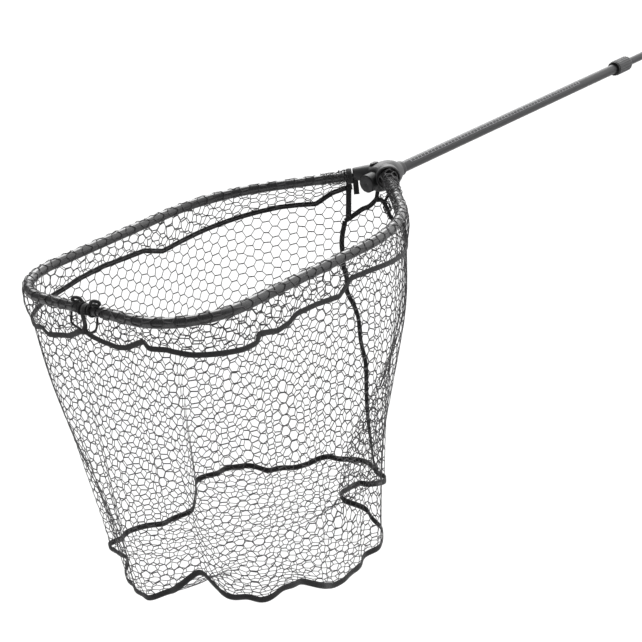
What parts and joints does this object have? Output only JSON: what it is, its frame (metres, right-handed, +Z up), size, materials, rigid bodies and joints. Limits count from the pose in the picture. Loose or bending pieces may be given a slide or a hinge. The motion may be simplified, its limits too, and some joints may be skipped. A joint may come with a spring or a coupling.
{
  "type": "landing net",
  "caption": "Landing net: a hanging mesh bag on a rounded rigid hoop, with a telescopic twist-lock handle that slides through the net head once a button frees it.",
  "frame": {"origin": "centre of the hand grip, on the handle's axis", "axes": "+X along the handle towards the butt, +Z up out of the hoop's mouth, +Y to the left of the handle; the bag hangs to -Z"},
  "size_m": [1.8063, 0.4618, 0.5377],
  "materials": {
    "anodised": "satin",
    "moulded": "satin",
    "black_plastic": "satin",
    "foam": "matte",
    "steel": "satin",
    "nylon": "satin",
    "rubber_net": "satin",
    "webbing": "matte"
  },
  "bodies": {
    "handle_rear": {"rear_tube": "anodised", "grip_sleeve": "foam", "butt_cap": "black_plastic", "guide_bush": "nylon"},
    "handle_front": {"front_tube": "anodised", "stop_cap": "moulded", "ferrule": "black_plastic", "collet": "nylon", "seal_ring": "black_plastic"},
    "lock_collar": {"lock_collar": "moulded"},
    "head": {"head_body": "moulded", "head_cover": "moulded", "slide_bush_front": "nylon", "slide_bush_rear": "nylon", "cover_screw_1": "steel", "cover_screw_2": "steel", "cover_screw_3": "steel", "cover_screw_4": "steel", "button_spring": "steel", "left_arm_tube": "anodised", "right_arm_tube": "anodised", "frame_joiner": "anodised", "joiner_screw_left": "steel", "joiner_screw_right": "steel", "net_sleeve_left": "rubber_net", "net_sleeve_right": "rubber_net", "net_wall": "rubber_net", "net_floor": "rubber_net", "rim_tape": "webbing", "floor_tape": "webbing", "seam_tape": "webbing", "notch_tape": "webbing", "edge_strap": "webbing", "head_strap": "webbing", "strap_tail": "webbing", "front_strap": "webbing", "tie_loop_left": "webbing", "tie_loop_right": "webbing"},
    "release_button": {"release_button": "black_plastic", "lock_stirrup": "steel"}
  },
  "joints": [
    {"name": "extend", "type": "slide", "parent": "handle_rear", "child": "handle_front", "axis": [-1, 0, 0], "range_m": [-0.09, 0.5]},
    {"name": "collar_turn", "type": "hinge", "parent": "handle_front", "child": "lock_collar", "pos_m": [-0.208, 0, 0], "axis": [1, 0, 0], "range_deg": [0, 120]},
    {"name": "head_slide", "type": "slide", "parent": "handle_front", "child": "head", "axis": [1, 0, 0], "range_m": [0, 0.6]},
    {"name": "button_press", "type": "slide", "parent": "head", "child": "release_button", "axis": [0, 0, -1], "range_m": [0, 0.003], "stiffness_N_per_m": 1500, "springref_m": -0.001, "deforming": ["button_spring"]}
  ]
}
